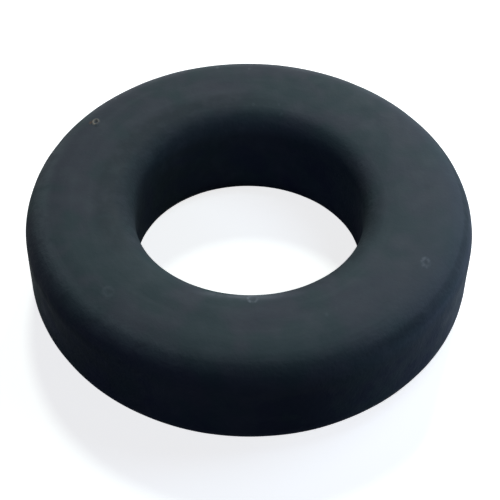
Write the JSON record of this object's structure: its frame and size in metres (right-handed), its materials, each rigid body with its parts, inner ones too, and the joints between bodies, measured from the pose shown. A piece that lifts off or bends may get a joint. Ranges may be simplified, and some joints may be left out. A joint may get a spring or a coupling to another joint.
{
  "type": "rubber sealing ring",
  "caption": "Thick round sealing ring of moulded black rubber, with two flat faces, a straight bore and rounded edges.",
  "frame": {"origin": "on the axis of the bore, at the lower flat face that the ring stands on", "axes": "+Z along the axis of the bore, from the lower face to the upper face; the ring is round, so X and Y are any two directions across it"},
  "size_m": [0.03, 0.03, 0.008],
  "materials": {
    "rubber": "matt, fine-grained as moulded"
  },
  "bodies": {
    "root": {"sealing_ring": "rubber"}
  },
  "joints": []
}
